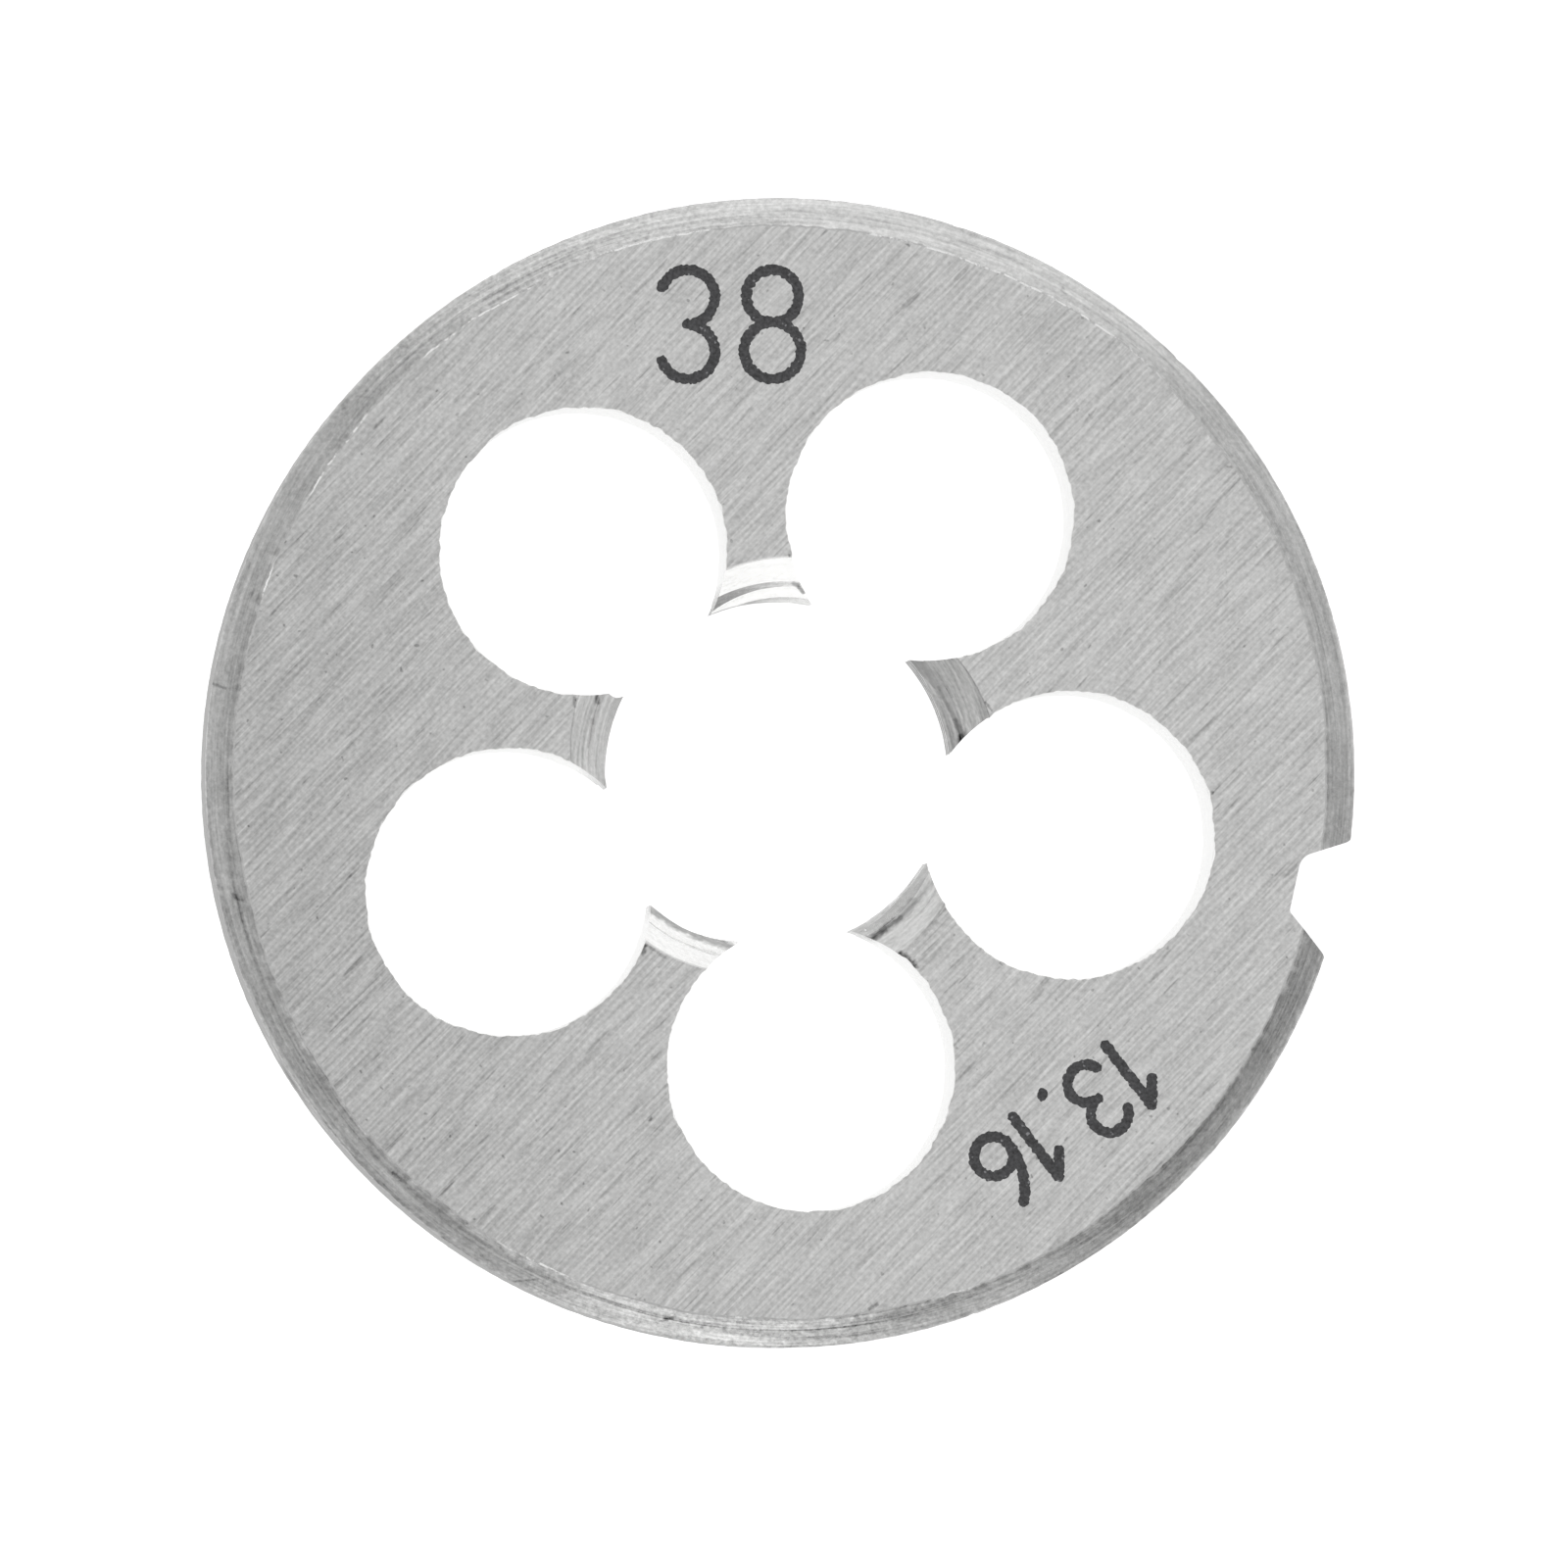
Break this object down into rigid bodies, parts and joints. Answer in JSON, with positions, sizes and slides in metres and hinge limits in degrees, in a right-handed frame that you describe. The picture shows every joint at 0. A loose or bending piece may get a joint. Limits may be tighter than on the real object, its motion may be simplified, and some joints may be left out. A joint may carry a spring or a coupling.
{
  "type": "round threading die",
  "caption": "Flat round steel disc with chip holes opening into a threaded bore, for cutting an outside pipe thread when turned in a die stock.",
  "frame": {"origin": "centre of the back face, on the axis of the bore", "axes": "+Z along the bore axis, out of the starting face; +X towards the adjusting groove in the rim"},
  "size_m": [0.0379, 0.038, 0.01],
  "materials": {
    "tool_steel": "ground flat faces, turned chamfers, bright cut lead-ins"
  },
  "bodies": {
    "root": {"die_body": "tool_steel"}
  },
  "joints": []
}
